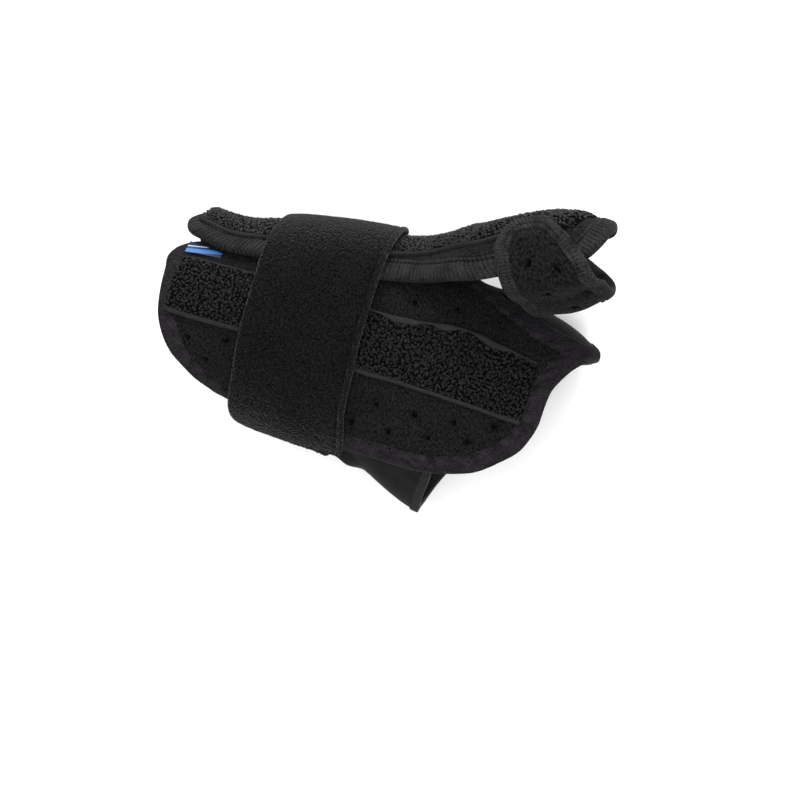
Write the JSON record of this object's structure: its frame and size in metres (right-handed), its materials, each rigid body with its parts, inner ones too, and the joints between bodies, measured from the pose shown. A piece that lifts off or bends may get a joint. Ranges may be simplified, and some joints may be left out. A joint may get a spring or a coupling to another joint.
{
  "type": "thumb spica splint",
  "caption": "Thumb spica splint: a padded fabric brace worn on the left forearm, hand and thumb, with wrist strap, thumb strap and hook-and-loop tapes",
  "frame": {"origin": "on the resting face under the back of the hand, below the middle of the wrist strap", "axes": "+X runs to the fingers, +Y to the thumb side, +Z to the palm side; the splint lies palm side up in its worn form"},
  "size_m": [0.1826, 0.1428, 0.0706],
  "materials": {
    "velour": "matte pile",
    "binding_tape": "matte",
    "loop_pile": "matte curly pile",
    "woven_label": "satin",
    "jersey": "soft sheen",
    "overlock_thread": "matte",
    "rib_knit": "matte",
    "brushed_felt": "matte"
  },
  "bodies": {
    "root": {"volar_panel": "velour", "volar_binding": "binding_tape", "volar_loop_strip": "loop_pile", "label": "woven_label", "dorsal_panel": "jersey", "dorsal_hem": "overlock_thread", "radial_panel": "velour", "radial_binding": "rib_knit", "radial_loop_strip": "loop_pile", "thumb_strap": "velour", "thumb_strap_binding": "binding_tape", "ulnar_loop_strip": "loop_pile", "wrist_strap": "brushed_felt"}
  },
  "joints": []
}
